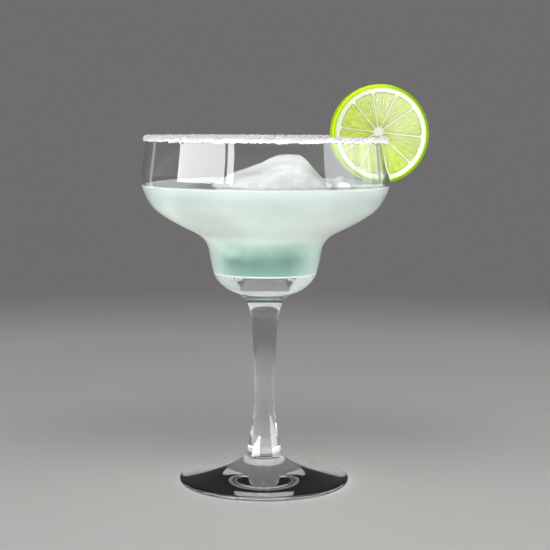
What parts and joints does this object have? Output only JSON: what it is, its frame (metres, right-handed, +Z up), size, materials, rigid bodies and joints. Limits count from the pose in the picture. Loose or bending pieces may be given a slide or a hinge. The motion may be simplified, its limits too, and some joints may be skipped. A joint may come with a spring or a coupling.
{
  "type": "margarita cocktail",
  "caption": "Stemmed cocktail glass with a wide bowl over a narrow well, holding a pale cloudy drink with ice, a salted rim and a lime wheel hung on the rim.",
  "frame": {"origin": "centre of the foot's flat underside", "axes": "+Z up along the stem; the lime wheel hangs on the +X side of the rim, and the front faces -Y"},
  "size_m": [0.1337, 0.1142, 0.1858],
  "materials": {
    "clear_glass": "clear, polished",
    "cloudy_drink": "cloudy pale green-white liquid",
    "frosted_ice": "wet frosted ice",
    "coarse_salt": "white grains",
    "lime_flesh": "wet cut lime flesh",
    "lime_pith": "white pith and membranes",
    "lime_zest": "waxy green rind"
  },
  "bodies": {
    "root": {"glass": "clear_glass", "drink": "cloudy_drink", "ice_lump": "frosted_ice", "ice_chip_near": "frosted_ice", "ice_chip_far": "frosted_ice", "salt_crust": "coarse_salt", "lime_wheel": "lime_flesh"}
  },
  "joints": []
}
